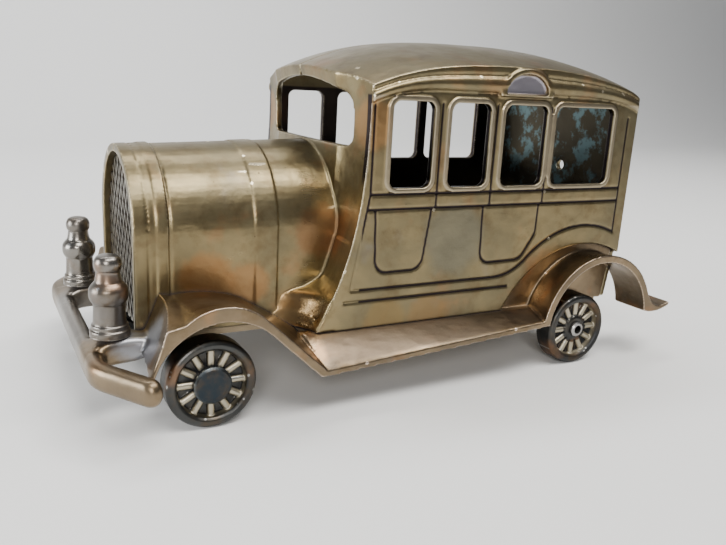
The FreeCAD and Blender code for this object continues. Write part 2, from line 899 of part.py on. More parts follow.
def make_bumper(outer, fender):
    bumper = bumper_bar().fuse(both_sides([bumper_arm()]))
    bumper = bumper.cut([outer, fender, mirrored(fender)])
    x, y, base = size("post_x"), size("arm_y"), size("post_base_z")
    depth = size("post_spigot_length") + 0.2
    hole = cylinder(size("post_spigot_radius") + 0.03, Vector(x, y, base - depth), Vector(x, y, base + 5))
    bumper = bumper.cut(both_sides([hole]))
    solid_feature("front_bumper", max(bumper.Solids, key=lambda solid: solid.Volume))


# ---------------------------------------------------------------- turned and flat pieces


def make_post(label, y_expression):
    """A turned post: spigot, base ring, cylinder, ball, flared neck and domed cap."""
    body = new_body(label)
    sketch = new_sketch(body, label + "_profile", "XZ_Plane")
    steps = [
        ("0", "-Sizes.post_spigot_length"),
        ("Sizes.post_spigot_radius", "-Sizes.post_spigot_length"),
        ("Sizes.post_spigot_radius", "0"),
        ("6.3", "0"),
        ("6.7", "0.6"),
        ("6.7", "2.6"),
        ("5.9", "3.6"),
        ("5.5", "4.6"),
        ("5.1", "7.5"),
        ("5.0", "10.9"),
        ("5.7", "11.6"),
        ("6.6", "13.2"),
        ("6.9", "15.0"),
        ("6.6", "16.8"),
        ("5.7", "18.2"),
        ("4.6", "19.2"),
        ("3.9", "21.0"),
        ("3.6", "23.2"),
        ("4.2", "24.0"),
        ("4.5", "25.2"),
        ("4.4", "26.6"),
        ("3.6", "27.9"),
        ("2.0", "28.6"),
        ("0", "28.7"),
    ]
    outline(sketch, steps)
    revolve(body, label + "_turned", sketch)
    body.setExpression(".Placement.Base.x", "Sizes.post_x")
    body.setExpression(".Placement.Base.y", y_expression)
    body.setExpression(".Placement.Base.z", "Sizes.post_base_z")


def make_wheel(label, x_expression, side):
    """A cast spoked wheel about its own Y axis, its face towards +Y before it is placed."""
    body = new_body(label)
    half = "Sizes.wheel_width / 2"
    bore = "Sizes.journal_radius + Sizes.journal_clearance"
    sketch = new_sketch(body, label + "_profile", "XY_Plane")
    corners = [
        (bore, f"-{half} + 0.6"),
        ("Sizes.hub_radius", f"-{half} + 0.6"),
        ("Sizes.hub_radius + 0.6", "-2"),
        ("Sizes.rim_inner_radius - 0.6", "-2"),
        ("Sizes.rim_inner_radius", f"-{half}"),
        ("Sizes.wheel_radius - 0.9", f"-{half}"),
        ("Sizes.wheel_radius", f"-{half} + 1.1"),
        ("Sizes.wheel_radius", f"{half} - 1.4"),
        ("Sizes.wheel_radius - 0.5", f"{half} - 0.5"),
        ("Sizes.wheel_radius - 1.4", half),
        ("Sizes.rim_inner_radius + 0.9", half),
        ("Sizes.rim_inner_radius", f"{half} - 0.8"),
        ("Sizes.rim_inner_radius - 0.7", "Sizes.web_face"),
        ("Sizes.hub_radius + 0.5", "Sizes.web_face"),
        ("Sizes.hub_radius", f"{half} - 1.8"),
        ("Sizes.hub_radius - 0.9", f"{half} - 1.4"),
        (bore, f"{half} - 1.4"),
    ]
    outline(sketch, corners)
    revolve(body, label + "_turned", sketch)
    spoke = new_sketch(body, label + "_spoke", "YZ_Plane", "Sizes.hub_radius - 0.8")
    circle(spoke, "Sizes.web_face + 0.6", "0", "Sizes.spoke_radius")
    doc.recompute()
    bar = pad(body, label + "_spoke_bar", spoke, "Sizes.rim_inner_radius - Sizes.hub_radius + 1.6")
    polar(body, label + "_spokes", bar, "Y_Axis", "Sizes.spoke_count")
    if side < 0:
        body.Placement = FreeCAD.Placement(Vector(0, 0, 0), Rotation(Vector(0, 0, 1), 180))
    body.setExpression(".Placement.Base.x", x_expression)
    body.setExpression(".Placement.Base.y", f"{side} * Sizes.wheel_centre_y")
    body.setExpression(".Placement.Base.z", "Sizes.wheel_radius")


def make_axle(label, x_expression, peened):
    """A turned axle: a stout shaft between the wheels and a journal through each of them."""
    body = new_body(label)
    sketch = new_sketch(body, label + "_profile", "XY_Plane")
    inner = "Sizes.wheel_centre_y - Sizes.wheel_width / 2 - Sizes.wheel_side_play"
    hub_face = "Sizes.wheel_centre_y + Sizes.wheel_width / 2 - 1.4"
    if peened:
        head = f"{hub_face} + Sizes.wheel_side_play"
        side = [
            ("Sizes.axle_radius", inner),
            ("Sizes.journal_radius", inner),
            ("Sizes.journal_radius", head),
            ("Sizes.peened_head_radius", head),
            ("Sizes.peened_head_radius", f"{head} + 0.9"),
            ("Sizes.peened_head_radius - 0.6", f"{head} + 1.4"),
            ("Sizes.peened_hole_radius", f"{head} + 1.4"),
            ("Sizes.peened_hole_radius", f"{head} - 3"),
            ("0", f"{head} - 3"),
        ]
    else:
        end = f"{hub_face} + Sizes.wheel_side_play + Sizes.hub_cap_height - 0.8"
        side = [
            ("Sizes.axle_radius", inner),
            ("Sizes.journal_radius", inner),
            ("Sizes.journal_radius", f"{end} - 0.4"),
            ("Sizes.journal_radius - 0.4", end),
            ("0", end),
        ]
    mirrored_side = [(x, f"-({y})") for x, y in reversed(side)]
    outline(sketch, mirrored_side + side)
    revolve(body, label + "_turned", sketch)
    body.setExpression(".Placement.Base.x", x_expression)
    body.setExpression(".Placement.Base.z", "Sizes.wheel_radius")


def make_hub_cap(label, side):
    """A pressed cap on the front axle's end, dished at its centre."""
    body = new_body(label)
    sketch = new_sketch(body, label + "_profile", "XY_Plane")
    corners = [
        ("Sizes.journal_radius + 0.02", "0"),
        ("Sizes.hub_cap_radius - 0.5", "0"),
        ("Sizes.hub_cap_radius", "0.5"),
        ("Sizes.hub_cap_radius", "1.3"),
        ("Sizes.hub_cap_radius - 0.8", "Sizes.hub_cap_height - 0.2"),
        ("Sizes.hub_cap_radius - 2.2", "Sizes.hub_cap_height"),
        ("0", "Sizes.hub_cap_height"),
        ("0", "Sizes.hub_cap_height - 0.75"),
        ("Sizes.journal_radius + 0.02", "Sizes.hub_cap_height - 0.75"),
    ]
    outline(sketch, corners)
    revolve(body, label + "_turned", sketch)
    if side < 0:
        body.Placement = FreeCAD.Placement(Vector(0, 0, 0), Rotation(Vector(0, 0, 1), 180))
    face = "(Sizes.wheel_centre_y + Sizes.wheel_width / 2 - 1.4 + Sizes.wheel_side_play)"
    body.setExpression(".Placement.Base.x", "Sizes.front_axle_x")
    body.setExpression(".Placement.Base.y", f"{side} * {face}")
    body.setExpression(".Placement.Base.z", "Sizes.wheel_radius")


def horseshoe(x, radius, centre):
    """An upright outline across the car, square below and round above."""
    low = size("pan_top") + 0.1
    return Part.Wire(
        [
            line(Vector(x, -radius, low), Vector(x, radius, low)),
            line(Vector(x, radius, low), Vector(x, radius, centre)),
            arc(Vector(x, radius, centre), Vector(x, 0, centre + radius), Vector(x, -radius, centre)),
            line(Vector(x, -radius, centre), Vector(x, -radius, low)),
        ]
    )


def make_grille():
    """The radiator face: a horseshoe plate with a lattice of diagonal ridges."""
    x = size("hood_front") - 3.6
    radius, centre = hood_size(x)
    radius -= wall + 0.1
    back = plate(horseshoe(x, radius, centre), Vector(-1.6, 0, 0))
    ridges = []
    for lean in (32.0, -32.0):
        for i in range(-12, 13):
            bar = Part.makeBox(1.1, 1.0, 140, Vector(0, -0.5, -70))
            bar.rotate(Vector(0, 0, 0), Vector(1, 0, 0), lean)
            bar.translate(Vector(x - 0.2, i * size("lattice_pitch"), centre))
            ridges.append(bar)
    cover = plate(horseshoe(x - 0.5, radius - 0.4, centre), Vector(2.2, 0, 0))
    lattice = ridges[0].fuse(ridges[1:]).common(cover)
    solid_feature("radiator_grille", back.fuse(lattice))


def make_pan():
    """The floor that closes the bank from below, with lugs for the axles and the coin outlet."""
    body = new_body("chassis_pan")
    half = "Sizes.pan_half_width"
    nose = "Sizes.hood_front_radius - 0.3"
    tip = "Sizes.hood_front - 5"
    step = "Sizes.pan_step_x"
    plan = new_sketch(body, "pan_plan", "XY_Plane", "Sizes.pan_bottom")
    outline(
        plan,
        [
            ("Sizes.pan_rear", f"-({half})"),
            (step, f"-({half})"),
            (step, f"-({nose})"),
            (tip, f"-({nose})"),
            (tip, nose),
            (step, nose),
            (step, half),
            ("Sizes.pan_rear", half),
        ],
    )
    pad(body, "pan_plate", plan, "Sizes.pan_top - Sizes.pan_bottom")
    for end, y in (("front", "front_lug_y"), ("rear", "rear_lug_y")):
        sketch = new_sketch(body, f"{end}_lug_plan", "XY_Plane", "Sizes.lug_bottom")
        for sign in ("", "-1 * "):
            low = f"{sign}(Sizes.{y} - Sizes.lug_thickness / 2)"
            high = f"{sign}(Sizes.{y} + Sizes.lug_thickness / 2)"
            fore, aft = f"Sizes.{end}_axle_x + 6", f"Sizes.{end}_axle_x - 6"
            outline(sketch, [(aft, low), (fore, low), (fore, high), (aft, high)])
        pad(body, f"{end}_lugs", sketch, "Sizes.pan_bottom - Sizes.lug_bottom")
    doc.recompute()
    full = body.Shape.Volume
    bores = new_sketch(body, "axle_bores", "XZ_Plane")
    for end in ("front", "rear"):
        circle(bores, f"Sizes.{end}_axle_x", "Sizes.wheel_radius", "Sizes.axle_radius + 0.02")
    pocket(body, "axle_bore_cut", bores)
    doc.recompute()
    bored = body.Shape.Volume
    holes = new_sketch(body, "pan_holes", "XY_Plane")
    circle(holes, "Sizes.outlet_x", "0", "Sizes.outlet_radius")
    for x in ("Sizes.trap_pivot_x", "Sizes.trap_lock_x"):
        circle(holes, x, "0", "Sizes.screw_radius + 0.02")
    for x, y in PAN_SCREWS:
        for sign in (1, -1):
            circle(holes, str(x), str(sign * y), "Sizes.screw_radius + 0.05")
    pocket(body, "pan_hole_cut", holes)
    doc.recompute()
    if not full > bored > body.Shape.Volume:
        raise RuntimeError("a pocket in the pan cut nothing")


def make_trap_door():
    """The coin trap: a disc on an ear, with a notch that slides off the lock screw."""
    body = new_body("coin_trap_door")
    sketch = new_sketch(body, "trap_plan", "XY_Plane")
    reach = "(Sizes.trap_pivot_x - Sizes.outlet_x)"
    lock = "(Sizes.trap_pivot_x - Sizes.trap_lock_x)"
    corners = [
        ("5", "-4"),
        ("5", "4"),
        ("2", "6"),
        (f"-{reach} + 11", "12"),
        (f"-{reach}", "Sizes.trap_disc_radius"),
        (f"-{reach} - 10", "12.5"),
        (f"-{reach} - 15", "5.5"),
        (f"-{lock} - 5", "5.5"),
        (f"-{lock} - 5", "-5.5"),
        (f"-{reach} - 15", "-5.5"),
        (f"-{reach} - 10", "-12.5"),
        (f"-{reach}", "-Sizes.trap_disc_radius"),
        (f"-{reach} + 11", "-12"),
        ("2", "-6"),
    ]
    outline(sketch, corners)
    pad(body, "trap_plate", sketch, "Sizes.trap_thickness")
    doc.recompute()
    full = body.Shape.Volume
    holes = new_sketch(body, "trap_holes", "XY_Plane")
    circle(holes, "0", "0", "Sizes.screw_radius + 0.06")
    notch_left, notch_right = f"-{lock} - Sizes.screw_radius - 0.5", f"-{lock} + Sizes.screw_radius + 0.5"
    foot = "-Sizes.screw_radius - 0.5"
    outline(holes, [(notch_left, foot), (notch_right, foot), (notch_right, "8"), (notch_left, "8")])
    pocket(body, "trap_hole_cut", holes)
    doc.recompute()
    if not body.Shape.Volume < full:
        raise RuntimeError("the trap's holes cut nothing")
    body.setExpression(".Placement.Base.x", "Sizes.trap_pivot_x")
    body.setExpression(".Placement.Base.z", "Sizes.pan_bottom - Sizes.trap_gap - Sizes.trap_thickness")


def make_trap_screw(label, x_expression):
    """A slotted shoulder screw that hangs from the pan and holds the trap up."""
    body = new_body(label)
    sketch = new_sketch(body, label + "_profile", "XZ_Plane")
    under = "-(Sizes.trap_thickness + 2 * Sizes.trap_gap)"
    corners = [
        ("0", "Sizes.pan_top - Sizes.pan_bottom"),
        ("0", f"{under} - 1.8"),
        ("Sizes.screw_head_radius - 0.6", f"{under} - 1.8"),
        ("Sizes.screw_head_radius", f"{under} - 1"),
        ("Sizes.screw_head_radius", under),
        ("Sizes.screw_radius", under),
        ("Sizes.screw_radius", "Sizes.pan_top - Sizes.pan_bottom"),
    ]
    outline(sketch, corners)
    revolve(body, label + "_turned", sketch)
    doc.recompute()
    full = body.Shape.Volume
    driver = new_sketch(body, label + "_slot", "XY_Plane", f"{under} - 1.8")
    outline(driver, [("-5", "-0.45"), ("5", "-0.45"), ("5", "0.45"), ("-5", "0.45")])
    pocket(body, label + "_slot_cut", driver, "0.9", reverse=True)
    doc.recompute()
    if not body.Shape.Volume < full:
        raise RuntimeError(f"{label} has no driver slot")
    body.setExpression(".Placement.Base.x", x_expression)
    body.setExpression(".Placement.Base.z", "Sizes.pan_bottom")


def screw(head_face, way, length):
    """A slotted cheese-head screw from its head's outer face, pointing along way."""
    radius, head = size("screw_radius"), size("screw_head_radius")
    shank = cylinder(radius, head_face, head_face + way * length)
    solid = cylinder(head, head_face, head_face + way * 1.8).fuse(shank)
    slot = Part.makeBox(2 * head + 1, 0.9, 1.6, Vector(-head - 0.5, -0.45, -0.8))
    slot.Placement = FreeCAD.Placement(head_face, Rotation(Vector(0, 0, 1), way))
    return solid.cut(slot)


def make_screws():
    ties = []
    for x, z in TIE_SCREWS:
        side = tie_head_y(x)
        ties.append(screw(Vector(x, -side - 0.4, z), Vector(0, 1, 0), side + 13.0))
    solid_feature("tie_screws", Part.makeCompound(ties))
    lifts = []
    for x, y in PAN_SCREWS:
        for sign in (1, -1):
            lifts.append(screw(Vector(x, sign * y, size("pan_bottom") - 1.8), Vector(0, 0, 1), 12.0))
    solid_feature("pan_screws", Part.makeCompound(lifts))


# ---------------------------------------------------------------- build and write

envelope, cavity = make_body_halves()
left_fender = make_fenders(envelope, cavity)
make_bumper(envelope, left_fender)
make_grille()
for name, sign in (("left", 1), ("right", -1)):
    make_post(f"lamp_post_{name}", f"{sign} * Sizes.arm_y")
    make_wheel(f"front_wheel_{name}", "Sizes.front_axle_x", sign)
    make_wheel(f"rear_wheel_{name}", "Sizes.rear_axle_x", sign)
    make_hub_cap(f"hub_cap_{name}", sign)
make_axle("front_axle", "Sizes.front_axle_x", False)
make_axle("rear_axle", "Sizes.rear_axle_x", True)
make_pan()
make_trap_door()
make_trap_screw("trap_pivot_screw", "Sizes.trap_pivot_x")
make_trap_screw("trap_lock_screw", "Sizes.trap_lock_x")
make_screws()
doc.recompute()

for item in doc.Objects:
    if "Invalid" in item.State or "Error" in item.State:
        raise RuntimeError(f"{item.Label} failed: {item.State}")

os.makedirs("parts", exist_ok=True)
for item in doc.Objects:
    if item.TypeId in ("PartDesign::Body", "Part::Feature"):
        shape = item.Shape
        if shape.isNull() or not shape.isValid():
            raise RuntimeError(f"{item.Label} has no valid shape")
        shape.exportStep(f"parts/{item.Label}.step")
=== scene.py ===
"""Looks of the cast brass limousine coin bank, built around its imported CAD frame. Metres."""

import math

import bmesh
import bpy
import numpy as np
from mathutils import Matrix, Vector


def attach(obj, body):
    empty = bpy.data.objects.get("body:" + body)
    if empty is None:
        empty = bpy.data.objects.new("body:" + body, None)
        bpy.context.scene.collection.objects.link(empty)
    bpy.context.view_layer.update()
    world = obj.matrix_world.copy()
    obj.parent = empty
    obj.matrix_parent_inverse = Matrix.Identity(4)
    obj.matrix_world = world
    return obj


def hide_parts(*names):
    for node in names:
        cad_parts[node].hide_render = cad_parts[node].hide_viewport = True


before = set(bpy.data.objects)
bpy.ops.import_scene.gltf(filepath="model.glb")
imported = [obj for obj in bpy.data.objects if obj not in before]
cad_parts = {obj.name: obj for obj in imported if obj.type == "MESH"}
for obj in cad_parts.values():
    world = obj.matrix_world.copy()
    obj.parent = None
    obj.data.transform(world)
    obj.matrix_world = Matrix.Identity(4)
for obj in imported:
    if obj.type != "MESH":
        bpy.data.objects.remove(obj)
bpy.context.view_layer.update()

MM = 0.001
SCENE = bpy.context.scene


# ---------------------------------------------------------------- mesh helpers


def new_piece(name, mesh, body, slot, *nodes):
    """A piece of the bank that rides on a body and stands for CAD nodes."""
    piece = bpy.data.objects.new(name, mesh)
    SCENE.collection.objects.link(piece)
    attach(piece, body)
    if nodes:
        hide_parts(*nodes)
    return piece


def apply_modifiers(piece):
    """Replaces a piece's mesh by what its modifiers make of it."""
    graph = bpy.context.evaluated_depsgraph_get()
    made = bpy.data.meshes.new_from_object(piece.evaluated_get(graph))
    old = piece.data
    piece.modifiers.clear()
    piece.data = made
    bpy.data.meshes.remove(old)


def shade_smooth(mesh):
    mesh.polygons.foreach_set("use_smooth", [True] * len(mesh.polygons))


def soften(piece, spots, iterations):
    """Wears a piece's edges down within a distance of some places, given in millimetres."""
    count = len(piece.data.vertices)
    flat = np.empty(count * 3)
    piece.data.vertices.foreach_get("co", flat)
    places = flat.reshape(count, 3) / MM
    near = np.zeros(count, bool)
    for centre, reach in spots:
        near |= np.linalg.norm(places - np.array(centre), axis=1) < reach
    group = piece.vertex_groups.new(name="worn")
    group.add(np.nonzero(near)[0].tolist(), 1.0, "REPLACE")
    smooth = piece.modifiers.new("wear", "SMOOTH")
    smooth.factor = 0.5
    smooth.iterations = iterations
    smooth.vertex_group = group.name


def cowl_fill(work, side):
    """The metal inside the sweep from the hood's side out to the cabin's front corner, slice by slice."""
    rings = []
    for i in range(23):
        z = 26.9 + 1.5 * i
        corner = 30.6 + 16.8 * ((112.0 - z) / 82.0) ** 2.6
        cowl = max(34.0 + 27.0 / (1 + math.exp((z - 41.0) / 2.2)), corner - 2.0)
        bend = Vector((corner + 0.12 * (cowl - corner), 32.5))
        inner, outer = Vector((cowl, 30.4)), Vector((corner, 49.3))
        ring = [(corner - 5.0, 47.5), (corner - 5.0, 30.4)]
        for k in range(9):
            t = k / 8
            ring.append(tuple(inner * (1 - t) ** 2 + bend * (2 * t * (1 - t)) + outer * t**2))
        rings.append([work.verts.new((x * MM, side * y * MM, z * MM)) for x, y in ring])
    count = len(rings[0])
    faces = [rings[0], rings[-1]]
    for low, high in zip(rings, rings[1:]):
        faces += [(low[k], low[(k + 1) % count], high[(k + 1) % count], high[k]) for k in range(count)]
    made = [work.faces.new(face) for face in faces]
    bmesh.ops.recalc_face_normals(work, faces=made)


def cast(name, nodes, body, slot, voxel, rounding, faces, spots=(), wear=0, extra=None):
    """The CAD solids of some nodes run together as one casting, with its edges softened."""
    shell = bmesh.new()
    for node in nodes:
        shell.from_mesh(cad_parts[node].data)
    if extra:
        extra(shell)
    mesh = bpy.data.meshes.new(name)
    shell.to_mesh(mesh)
    shell.free()
    piece = new_piece(name, mesh, body, slot, *nodes)
    remesh = piece.modifiers.new("skin", "REMESH")
    remesh.mode = "VOXEL"
    remesh.voxel_size = voxel
    apply_modifiers(piece)
    smooth = piece.modifiers.new("round", "SMOOTH")
    smooth.factor = 0.5
    smooth.iterations = rounding
    if spots:
        soften(piece, spots, wear)
    apply_modifiers(piece)
    piece.vertex_groups.clear()
    share = faces / (2 * len(piece.data.polygons))
    if share < 1:
        fewer = piece.modifiers.new("fewer", "DECIMATE")
        fewer.ratio = share
        apply_modifiers(piece)
    shade_smooth(piece.data)
    return piece


def rounded_profile(corners, steps=5):
    """A Catmull-Rom curve through the corners of a profile."""
    padded = [corners[0]] + list(corners) + [corners[-1]]
    points = []
    for a, b, c, d in zip(padded, padded[1:], padded[2:], padded[3:]):
        for i in range(steps):
            t = i / steps
            point = []
            for p, q, r, s in zip(a, b, c, d):
                square, cube = 2 * p - 5 * q + 4 * r - s, 3 * q - p - 3 * r + s
                point.append(0.5 * (2 * q + (r - p) * t + square * t**2 + cube * t**3))
            points.append(point)
    points.append(list(corners[-1]))
    return points


def lathe(name, corners, centre, axis, body, slot, node, segments=96):
    """A turned piece: a smooth profile of (radius, height) swept about an axis through centre."""
    profile = [(max(r, 0.0), h) for r, h in rounded_profile(corners)]
    across = Vector((1, 0, 0))
    along = Vector(axis)
    other = along.cross(across)
    work = bmesh.new()
    rings = []
    for r, h in profile:
        if r < 0.02:
            rings.append([work.verts.new((Vector(centre) + along * h) * MM)])
            continue
        ring = []
        for i in range(segments):
            turn = 2 * math.pi * i / segments
            spoke = across * math.cos(turn) + other * math.sin(turn)
            ring.append(work.verts.new((Vector(centre) + along * h + spoke * r) * MM))
        rings.append(ring)
    for low, high in zip(rings, rings[1:]):
        for i in range(segments):
            k = (i + 1) % segments
            if len(low) == 1:
                work.faces.new((low[0], high[k], high[i]))
            elif len(high) == 1:
                work.faces.new((low[i], low[k], high[0]))
            else:
                work.faces.new((low[i], low[k], high[k], high[i]))
    bmesh.ops.recalc_face_normals(work, faces=work.faces)
    mesh = bpy.data.meshes.new(name)
    work.to_mesh(mesh)
    work.free()
    shade_smooth(mesh)
    return new_piece(name, mesh, body, slot, node)


# ---------------------------------------------------------------- camera, floor and lights


def make_camera():
    camera = bpy.data.cameras.new("camera")
    camera.sensor_width = 36.0
    camera.lens = 36.14
    camera.clip_start = 0.01
    camera.clip_end = 20.0
    holder = bpy.data.objects.new("camera", camera)
    SCENE.collection.objects.link(holder)
    heading, dip, roll = math.radians(29.32), math.radians(14.85), math.radians(3.19)
    level = Vector((-math.cos(heading), math.sin(heading), 0))
    ahead = Vector((-math.sin(heading) * math.cos(dip), -math.cos(heading) * math.cos(dip), -math.sin(dip)))
    upward = level.cross(ahead)
    right = math.cos(roll) * level + math.sin(roll) * upward
    top = math.cos(roll) * upward - math.sin(roll) * level
    turn = Matrix((right, top, -ahead)).transposed().to_4x4()
    holder.matrix_world = Matrix.Translation(Vector((161.6, 282.5, 120.0)) * MM) @ turn
    SCENE.camera = holder


def make_floor():
    """A pale sheet that lies under the bank and curves up behind it."""
    bend, rise = 0.7, 2.4
    section = [(3.0, 0.0), (-0.9, 0.0)]
    for i in range(1, 25):
        turn = math.pi / 2 * i / 24
        section.append((-0.9 - bend * math.sin(turn), bend * (1 - math.cos(turn))))
    section.append((-0.9 - bend, rise))
    work = bmesh.new()
    sides = [[work.verts.new((x, y, z)) for y, z in section] for x in (-4.0, 4.0)]
    for i in range(len(section) - 1):
        work.faces.new((sides[0][i], sides[1][i], sides[1][i + 1], sides[0][i + 1]))
    mesh = bpy.data.meshes.new("floor")
    work.to_mesh(mesh)
    work.free()
    shade_smooth(mesh)
    floor = bpy.data.objects.new("floor", mesh)
    SCENE.collection.objects.link(floor)
    floor.location.z = -0.0002
    material = bpy.data.materials.new("floor")
    material.use_nodes = True
    shader = material.node_tree.nodes["Principled BSDF"]
    shader.inputs["Base Color"].default_value = (0.80, 0.80, 0.79, 1)
    shader.inputs["Roughness"].default_value = 0.85
    mesh.materials.append(material)


def area_light(name, place, target, size, power, colour):
    light = bpy.data.lights.new(name, "AREA")
    light.shape = "RECTANGLE"
    light.size, light.size_y = size
    light.energy = power
    light.color = colour
    holder = bpy.data.objects.new(name, light)
    SCENE.collection.objects.link(holder)
    holder.visible_camera = False
    holder.location = place
    holder.rotation_mode = "QUATERNION"
    holder.rotation_quaternion = (Vector(target) - Vector(place)).to_track_quat("-Z", "Y")


def make_lights():
    middle = (0.0, 0.0, 0.06)
    area_light("front", (1.1, -0.15, 0.22), middle, (0.5, 0.6), 13.0, (0.93, 0.97, 1.0))
    area_light("ceiling", (-0.15, 0.42, 1.0), middle, (1.1, 0.32), 15.0, (1.0, 0.98, 0.94))
    area_light("side", (0.55, 1.0, 0.5), middle, (0.35, 0.35), 7.0, (1.0, 0.97, 0.93))
    area_light("backdrop", (0.1, -0.5, 1.3), (0.0, -1.3, 0.3), (1.6, 0.5), 22.0, (1.0, 1.0, 1.0))
    world = bpy.data.worlds.new("room")
    world.use_nodes = True
    SCENE.world = world
    background = world.node_tree.nodes["Background"]
    background.inputs["Color"].default_value = (0.62, 0.64, 0.68, 1)
    background.inputs["Strength"].default_value = 0.28


# ---------------------------------------------------------------- materials


class Nodes:
    """Short names for building one material's node tree."""

    def __init__(self, name):
        self.material = bpy.data.materials.new(name)
        self.material.use_nodes = True
        self.tree = self.material.node_tree
        self.shader = self.tree.nodes["Principled BSDF"]
        where = self.tree.nodes.new("ShaderNodeTexCoord").outputs["Object"]
        self.place = self.vector("MULTIPLY", where, (1 / MM, 1 / MM, 1 / MM))

    def put(self, socket, value):
        if isinstance(value, bpy.types.NodeSocket):
            self.tree.links.new(value, socket)
        elif socket.type == "RGBA" and len(value) == 3:
            socket.default_value = (*value, 1)
        else:
            socket.default_value = value

    def vector(self, operation, a, b):
        node = self.tree.nodes.new("ShaderNodeVectorMath")
        node.operation = operation
        self.put(node.inputs[0], a)
        self.put(node.inputs[1], b)
        return node.outputs["Vector"]

    def distance(self, a, b):
        node = self.tree.nodes.new("ShaderNodeVectorMath")
        node.operation = "DISTANCE"
        self.put(node.inputs[0], a)
        self.put(node.inputs[1], b)
        return node.outputs["Value"]

    def math(self, operation, a, b=0.0):
        node = self.tree.nodes.new("ShaderNodeMath")
        node.operation = operation
        self.put(node.inputs[0], a)
        self.put(node.inputs[1], b)
        return node.outputs[0]

    def part(self, axis):
        """One coordinate, in millimetres."""
        node = self.tree.nodes.new("ShaderNodeSeparateXYZ")
        self.put(node.inputs[0], self.place)
        return node.outputs[axis]

    def noise(self, size, detail=3.0, rough=0.55, stretch=(1, 1, 1)):
        """Noise whose lumps are about size millimetres across, from 0 to 1."""
        place = self.vector("MULTIPLY", self.place, tuple(s / size for s in stretch))
        node = self.tree.nodes.new("ShaderNodeTexNoise")
        self.put(node.inputs["Vector"], place)
        self.put(node.inputs["Scale"], 1.0)
        self.put(node.inputs["Detail"], detail)
        self.put(node.inputs["Roughness"], rough)
        return node.outputs["Fac"]

    def cells(self, size):
        """Distance to the nearest of scattered points about size millimetres apart."""
        node = self.tree.nodes.new("ShaderNodeTexVoronoi")
        self.put(node.inputs["Vector"], self.place)
        self.put(node.inputs["Scale"], 1 / size)
        return node.outputs["Distance"]

    def span(self, value, low, high, start=0.0, end=1.0):
        """value from low to high, eased to the range start to end."""
        node = self.tree.nodes.new("ShaderNodeMapRange")
        node.interpolation_type = "SMOOTHSTEP"
        for name, number in zip(("From Min", "From Max", "To Min", "To Max"), (low, high, start, end)):
            node.inputs[name].default_value = number
        self.put(node.inputs["Value"], value)
        return node.outputs["Result"]

    def mix(self, share, a, b, way="MIX"):
        node = self.tree.nodes.new("ShaderNodeMix")
        node.data_type = "RGBA"
        node.blend_type = way
        self.put(node.inputs["Factor"], share)
        self.put(node.inputs["A"], a)
        self.put(node.inputs["B"], b)
        return node.outputs["Result"]

    def shelter(self, reach):
        """0 in the open and 1 deep in a corner or groove, within reach millimetres."""
        node = self.tree.nodes.new("ShaderNodeAmbientOcclusion")
        node.samples = 6
        self.put(node.inputs["Distance"], reach * MM)
        return self.math("SUBTRACT", 1.0, node.outputs["AO"])

    def ridge(self):
        """Above a half on a ridge and below it in a furrow."""
        return self.tree.nodes.new("ShaderNodeNewGeometry").outputs["Pointiness"]

    def bump(self, height, depth):
        node = self.tree.nodes.new("ShaderNodeBump")
        self.put(node.inputs["Strength"], 1.0)
        self.put(node.inputs["Distance"], depth * MM)
        self.put(node.inputs["Height"], height)
        self.put(self.shader.inputs["Normal"], node.outputs["Normal"])


def patch(n, centre, radius, soft=0.5):
    """A blotch round a point, with a ragged edge."""
    away = n.distance(n.place, centre)
    ragged = n.math("ADD", away, n.math("MULTIPLY", n.noise(radius * 0.5), radius * 0.5))
    return n.span(ragged, radius * (1.25 - soft / 2), radius * (1.25 + soft / 2), 1.0, 0.0)


def inside(n, low, high, axis, soft):
    """1 where a coordinate lies between two values, falling off over soft millimetres."""
    part = n.part(axis)
    above = n.span(part, low - soft, low + soft)
    return n.math("MULTIPLY", above, n.span(part, high - soft, high + soft, 1.0, 0.0))


def all_of(n, *shares):
    product = shares[0]
    for share in shares[1:]:
        product = n.math("MULTIPLY", product, share)
    return product


def cavity(n):
    """The inner walls of the cabin, clear of the rear wall's outer face where its foot curves in."""
    across, along = inside(n, -46.9, 46.9, 1, 0.4), inside(n, -104.8, 27.0, 0, 0.5)
    off_foot = n.math("MAXIMUM", n.span(n.part(2), 66.0, 72.0), n.span(n.part(0), -100.0, -99.0))
    return all_of(n, across, along, off_foot, inside(n, 20.0, 117.0, 2, 1.0))


def verdigris(n):
    """Blue-green bloom in ragged islands on the cabin's inner rear walls."""
    islands = n.span(n.noise(13.0, 5.0, 0.65), 0.50, 0.60)
    return all_of(n, cavity(n), islands, inside(n, -120.0, -50.0, 0, 10.0))


def tympanum(n):
    """The sunk half-round of the emblem over the windows."""
    off = n.math("ABSOLUTE", n.part(1))
    sunk = n.math("MULTIPLY", n.span(off, 48.8, 49.2), n.span(off, 49.7, 50.0, 1.0, 0.0))
    return all_of(n, sunk, inside(n, -49.6, -29.6, 0, 0.4), inside(n, 117.7, 124.6, 2, 0.4))


def window_rims(n):
    """The raised rims round the side windows."""
    off = n.math("ABSOLUTE", n.part(1))
    return n.math("MULTIPLY", n.span(off, 49.95, 50.25), inside(n, 79.2, 115.0, 2, 0.4))


def board_top_shade(n):
    """The boards' tops, darkened with painted shade."""
    off = n.math("ABSOLUTE", n.part(1))
    return all_of(n, n.span(off, 49.6, 50.6), n.span(off, 60.2, 61.4, 1.0, 0.0), inside(n, -56.0, 49.0, 0, 2.0))


def line_patina_and_jamb_shade(n):
    """The lines cut in the cabin's sides, dark with patina, and the window jambs, where shade is painted."""
    off = n.math("ABSOLUTE", n.part(1))
    sunk = n.math("MULTIPLY", n.span(off, 49.30, 49.62, 1.0, 0.0), n.span(off, 46.6, 47.2))
    return all_of(n, sunk, inside(n, -100.4, 32.0, 0, 0.3), inside(n, 28.0, 115.0, 2, 0.5))


